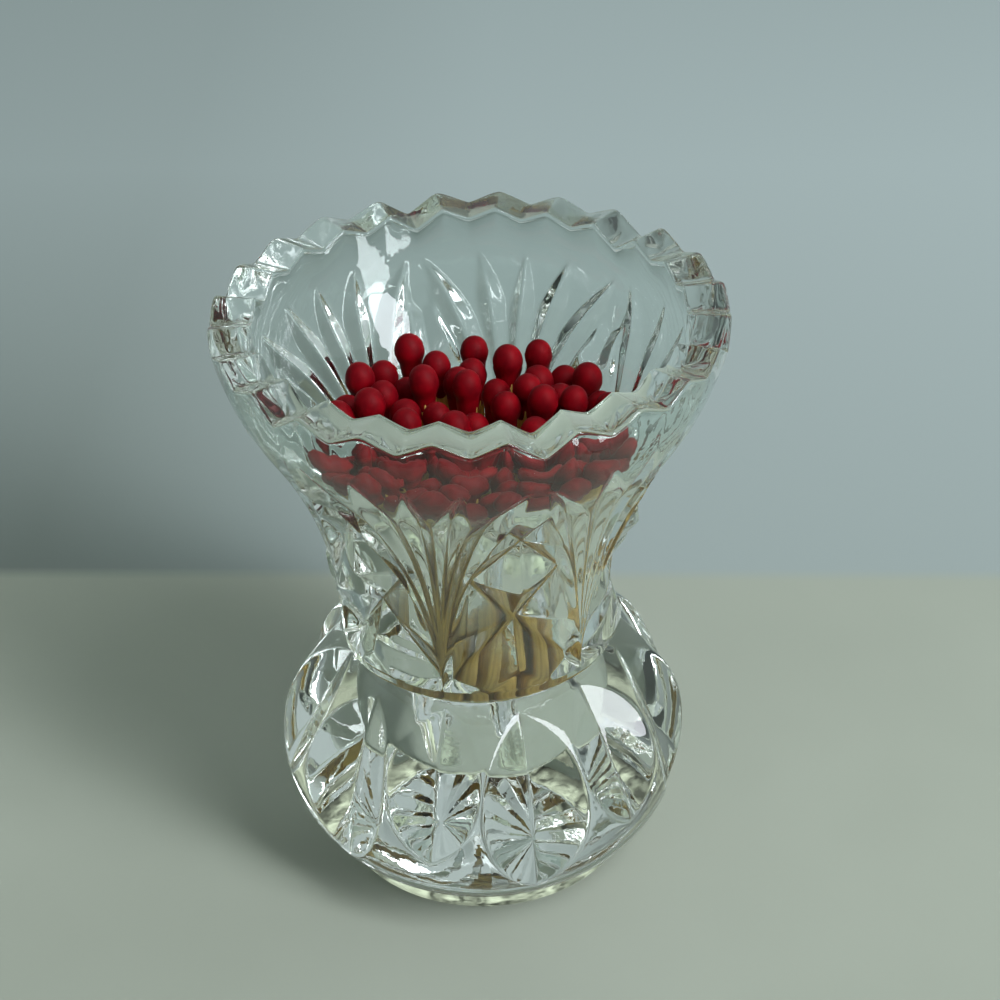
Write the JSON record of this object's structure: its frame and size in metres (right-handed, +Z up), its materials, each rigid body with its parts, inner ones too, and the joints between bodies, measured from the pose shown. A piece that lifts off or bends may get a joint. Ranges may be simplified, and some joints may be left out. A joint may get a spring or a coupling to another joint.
{
  "type": "toothpick holder",
  "caption": "Small clear pressed-glass holder with a flared sawtooth rim, cut windows and leaf fans above a petalled bulb, standing full of red-headed wooden matches.",
  "frame": {"origin": "middle of the foot's underside, on the surface it stands on", "axes": "+Z up along the glass's axis, -Y towards one of the cut windows"},
  "size_m": [0.0602, 0.0602, 0.077],
  "materials": {
    "clear_glass": "fire-polished",
    "match_wood": "sawn",
    "match_head": "matte"
  },
  "bodies": {
    "holder": {"glass_holder": "clear_glass"},
    "match_01": {"match_01": "match_wood"},
    "match_02": {"match_02": "match_wood"},
    "match_03": {"match_03": "match_wood"},
    "match_04": {"match_04": "match_wood"},
    "match_05": {"match_05": "match_wood"},
    "match_06": {"match_06": "match_wood"},
    "match_07": {"match_07": "match_wood"},
    "match_08": {"match_08": "match_wood"},
    "match_09": {"match_09": "match_wood"},
    "match_10": {"match_10": "match_wood"},
    "match_11": {"match_11": "match_wood"},
    "match_12": {"match_12": "match_wood"},
    "match_13": {"match_13": "match_wood"},
    "match_14": {"match_14": "match_wood"},
    "match_15": {"match_15": "match_wood"},
    "match_16": {"match_16": "match_wood"},
    "match_17": {"match_17": "match_wood"},
    "match_18": {"match_18": "match_wood"},
    "match_19": {"match_19": "match_wood"},
    "match_20": {"match_20": "match_wood"},
    "match_21": {"match_21": "match_wood"},
    "match_22": {"match_22": "match_wood"},
    "match_23": {"match_23": "match_wood"},
    "match_24": {"match_24": "match_wood"},
    "match_25": {"match_25": "match_wood"},
    "match_26": {"match_26": "match_wood"},
    "match_27": {"match_27": "match_wood"},
    "match_28": {"match_28": "match_wood"},
    "match_29": {"match_29": "match_wood"},
    "match_30": {"match_30": "match_wood"},
    "match_31": {"match_31": "match_wood"},
    "match_32": {"match_32": "match_wood"},
    "match_33": {"match_33": "match_wood"},
    "match_34": {"match_34": "match_wood"},
    "match_35": {"match_35": "match_wood"},
    "match_36": {"match_36": "match_wood"},
    "match_37": {"match_37": "match_wood"},
    "match_38": {"match_38": "match_wood"},
    "match_39": {"match_39": "match_wood"},
    "match_40": {"match_40": "match_wood"},
    "match_41": {"match_41": "match_wood"},
    "match_42": {"match_42": "match_wood"},
    "match_43": {"match_43": "match_wood"},
    "match_44": {"match_44": "match_wood"},
    "match_45": {"match_45": "match_wood"},
    "match_46": {"match_46": "match_wood"},
    "match_47": {"match_47": "match_wood"},
    "match_48": {"match_48": "match_wood"},
    "match_49": {"match_49": "match_wood"},
    "match_50": {"match_50": "match_wood"},
    "match_51": {"match_51": "match_wood"},
    "match_52": {"match_52": "match_wood"},
    "match_53": {"match_53": "match_wood"},
    "match_54": {"match_54": "match_wood"},
    "match_55": {"match_55": "match_wood"},
    "match_56": {"match_56": "match_wood"},
    "match_57": {"match_57": "match_wood"}
  },
  "joints": [
    {"name": "match_01_lift", "type": "slide", "parent": "holder", "child": "match_01", "axis": [0, 0, 1], "range_m": [0, 0.068]},
    {"name": "match_02_lift", "type": "slide", "parent": "holder", "child": "match_02", "axis": [0.0407, 0.0079, 0.9991], "range_m": [0, 0.068]},
    {"name": "match_03_lift", "type": "slide", "parent": "holder", "child": "match_03", "axis": [0.0051, 0.0412, 0.9991], "range_m": [0, 0.068]},
    {"name": "match_04_lift", "type": "slide", "parent": "holder", "child": "match_04", "axis": [-0.0376, 0.0175, 0.9991], "range_m": [0, 0.068]},
    {"name": "match_05_lift", "type": "slide", "parent": "holder", "child": "match_05", "axis": [-0.0283, -0.0303, 0.9991], "range_m": [0, 0.068]},
    {"name": "match_06_lift", "type": "slide", "parent": "holder", "child": "match_06", "axis": [0.0201, -0.0363, 0.9991], "range_m": [0, 0.068]},
    {"name": "match_07_lift", "type": "slide", "parent": "holder", "child": "match_07", "axis": [0.0718, 0.029, 0.997], "range_m": [0, 0.068]},
    {"name": "match_08_lift", "type": "slide", "parent": "holder", "child": "match_08", "axis": [0.0447, 0.0632, 0.997], "range_m": [0, 0.068]},
    {"name": "match_09_lift", "type": "slide", "parent": "holder", "child": "match_09", "axis": [0.0034, 0.0773, 0.997], "range_m": [0, 0.068]},
    {"name": "match_10_lift", "type": "slide", "parent": "holder", "child": "match_10", "axis": [-0.0389, 0.0669, 0.997], "range_m": [0, 0.068]},
    {"name": "match_11_lift", "type": "slide", "parent": "holder", "child": "match_11", "axis": [-0.0689, 0.0353, 0.997], "range_m": [0, 0.068]},
    {"name": "match_12_lift", "type": "slide", "parent": "holder", "child": "match_12", "axis": [-0.077, -0.0076, 0.997], "range_m": [0, 0.068]},
    {"name": "match_13_lift", "type": "slide", "parent": "holder", "child": "match_13", "axis": [-0.0607, -0.048, 0.997], "range_m": [0, 0.068]},
    {"name": "match_14_lift", "type": "slide", "parent": "holder", "child": "match_14", "axis": [-0.0251, -0.0732, 0.997], "range_m": [0, 0.068]},
    {"name": "match_15_lift", "type": "slide", "parent": "holder", "child": "match_15", "axis": [0.0185, -0.0752, 0.997], "range_m": [0, 0.068]},
    {"name": "match_16_lift", "type": "slide", "parent": "holder", "child": "match_16", "axis": [0.0562, -0.0532, 0.997], "range_m": [0, 0.068]},
    {"name": "match_17_lift", "type": "slide", "parent": "holder", "child": "match_17", "axis": [0.0761, -0.0144, 0.997], "range_m": [0, 0.068]},
    {"name": "match_18_lift", "type": "slide", "parent": "holder", "child": "match_18", "axis": [0.0948, 0.0616, 0.9936], "range_m": [0, 0.068]},
    {"name": "match_19_lift", "type": "slide", "parent": "holder", "child": "match_19", "axis": [0.0662, 0.0917, 0.9936], "range_m": [0, 0.068]},
    {"name": "match_20_lift", "type": "slide", "parent": "holder", "child": "match_20", "axis": [0.0286, 0.1094, 0.9936], "range_m": [0, 0.068]},
    {"name": "match_21_lift", "type": "slide", "parent": "holder", "child": "match_21", "axis": [-0.0129, 0.1123, 0.9936], "range_m": [0, 0.068]},
    {"name": "match_22_lift", "type": "slide", "parent": "holder", "child": "match_22", "axis": [-0.0526, 0.1001, 0.9936], "range_m": [0, 0.068]},
    {"name": "match_23_lift", "type": "slide", "parent": "holder", "child": "match_23", "axis": [-0.0852, 0.0743, 0.9936], "range_m": [0, 0.068]},
    {"name": "match_24_lift", "type": "slide", "parent": "holder", "child": "match_24", "axis": [-0.1063, 0.0386, 0.9936], "range_m": [0, 0.068]},
    {"name": "match_25_lift", "type": "slide", "parent": "holder", "child": "match_25", "axis": [-0.113, -0.0024, 0.9936], "range_m": [0, 0.068]},
    {"name": "match_26_lift", "type": "slide", "parent": "holder", "child": "match_26", "axis": [-0.1045, -0.0431, 0.9936], "range_m": [0, 0.068]},
    {"name": "match_27_lift", "type": "slide", "parent": "holder", "child": "match_27", "axis": [-0.0819, -0.0779, 0.9936], "range_m": [0, 0.068]},
    {"name": "match_28_lift", "type": "slide", "parent": "holder", "child": "match_28", "axis": [-0.0482, -0.1023, 0.9936], "range_m": [0, 0.068]},
    {"name": "match_29_lift", "type": "slide", "parent": "holder", "child": "match_29", "axis": [-0.008, -0.1128, 0.9936], "range_m": [0, 0.068]},
    {"name": "match_30_lift", "type": "slide", "parent": "holder", "child": "match_30", "axis": [0.0333, -0.108, 0.9936], "range_m": [0, 0.068]},
    {"name": "match_31_lift", "type": "slide", "parent": "holder", "child": "match_31", "axis": [0.0701, -0.0887, 0.9936], "range_m": [0, 0.068]},
    {"name": "match_32_lift", "type": "slide", "parent": "holder", "child": "match_32", "axis": [0.0974, -0.0574, 0.9936], "range_m": [0, 0.068]},
    {"name": "match_33_lift", "type": "slide", "parent": "holder", "child": "match_33", "axis": [0.1115, -0.0184, 0.9936], "range_m": [0, 0.068]},
    {"name": "match_34_lift", "type": "slide", "parent": "holder", "child": "match_34", "axis": [0.1107, 0.0232, 0.9936], "range_m": [0, 0.068]},
    {"name": "match_35_lift", "type": "slide", "parent": "holder", "child": "match_35", "axis": [0.1066, 0.103, 0.9889], "range_m": [0, 0.068]},
    {"name": "match_36_lift", "type": "slide", "parent": "holder", "child": "match_36", "axis": [0.0764, 0.1271, 0.9889], "range_m": [0, 0.068]},
    {"name": "match_37_lift", "type": "slide", "parent": "holder", "child": "match_37", "axis": [0.0409, 0.1425, 0.9889], "range_m": [0, 0.068]},
    {"name": "match_38_lift", "type": "slide", "parent": "holder", "child": "match_38", "axis": [-0.0359, 0.1438, 0.9889], "range_m": [0, 0.068]},
    {"name": "match_39_lift", "type": "slide", "parent": "holder", "child": "match_39", "axis": [-0.0719, 0.1297, 0.9889], "range_m": [0, 0.068]},
    {"name": "match_40_lift", "type": "slide", "parent": "holder", "child": "match_40", "axis": [-0.103, 0.1066, 0.9889], "range_m": [0, 0.068]},
    {"name": "match_41_lift", "type": "slide", "parent": "holder", "child": "match_41", "axis": [-0.1271, 0.0764, 0.9889], "range_m": [0, 0.068]},
    {"name": "match_42_lift", "type": "slide", "parent": "holder", "child": "match_42", "axis": [-0.1425, 0.0409, 0.9889], "range_m": [0, 0.068]},
    {"name": "match_43_lift", "type": "slide", "parent": "holder", "child": "match_43", "axis": [-0.1482, 0.0026, 0.9889], "range_m": [0, 0.068]},
    {"name": "match_44_lift", "type": "slide", "parent": "holder", "child": "match_44", "axis": [-0.1438, -0.0359, 0.9889], "range_m": [0, 0.068]},
    {"name": "match_45_lift", "type": "slide", "parent": "holder", "child": "match_45", "axis": [-0.1297, -0.0719, 0.9889], "range_m": [0, 0.068]},
    {"name": "match_46_lift", "type": "slide", "parent": "holder", "child": "match_46", "axis": [-0.1066, -0.103, 0.9889], "range_m": [0, 0.068]},
    {"name": "match_47_lift", "type": "slide", "parent": "holder", "child": "match_47", "axis": [-0.0764, -0.1271, 0.9889], "range_m": [0, 0.068]},
    {"name": "match_48_lift", "type": "slide", "parent": "holder", "child": "match_48", "axis": [-0.0409, -0.1425, 0.9889], "range_m": [0, 0.068]},
    {"name": "match_49_lift", "type": "slide", "parent": "holder", "child": "match_49", "axis": [-0.0026, -0.1482, 0.9889], "range_m": [0, 0.068]},
    {"name": "match_50_lift", "type": "slide", "parent": "holder", "child": "match_50", "axis": [0.0359, -0.1438, 0.9889], "range_m": [0, 0.068]},
    {"name": "match_51_lift", "type": "slide", "parent": "holder", "child": "match_51", "axis": [0.0719, -0.1297, 0.9889], "range_m": [0, 0.068]},
    {"name": "match_52_lift", "type": "slide", "parent": "holder", "child": "match_52", "axis": [0.103, -0.1066, 0.9889], "range_m": [0, 0.068]},
    {"name": "match_53_lift", "type": "slide", "parent": "holder", "child": "match_53", "axis": [0.1271, -0.0764, 0.9889], "range_m": [0, 0.068]},
    {"name": "match_54_lift", "type": "slide", "parent": "holder", "child": "match_54", "axis": [0.1425, -0.0409, 0.9889], "range_m": [0, 0.068]},
    {"name": "match_55_lift", "type": "slide", "parent": "holder", "child": "match_55", "axis": [0.1482, -0.0026, 0.9889], "range_m": [0, 0.068]},
    {"name": "match_56_lift", "type": "slide", "parent": "holder", "child": "match_56", "axis": [0.1438, 0.0359, 0.9889], "range_m": [0, 0.068]},
    {"name": "match_57_lift", "type": "slide", "parent": "holder", "child": "match_57", "axis": [0.1297, 0.0719, 0.9889], "range_m": [0, 0.068]}
  ]
}
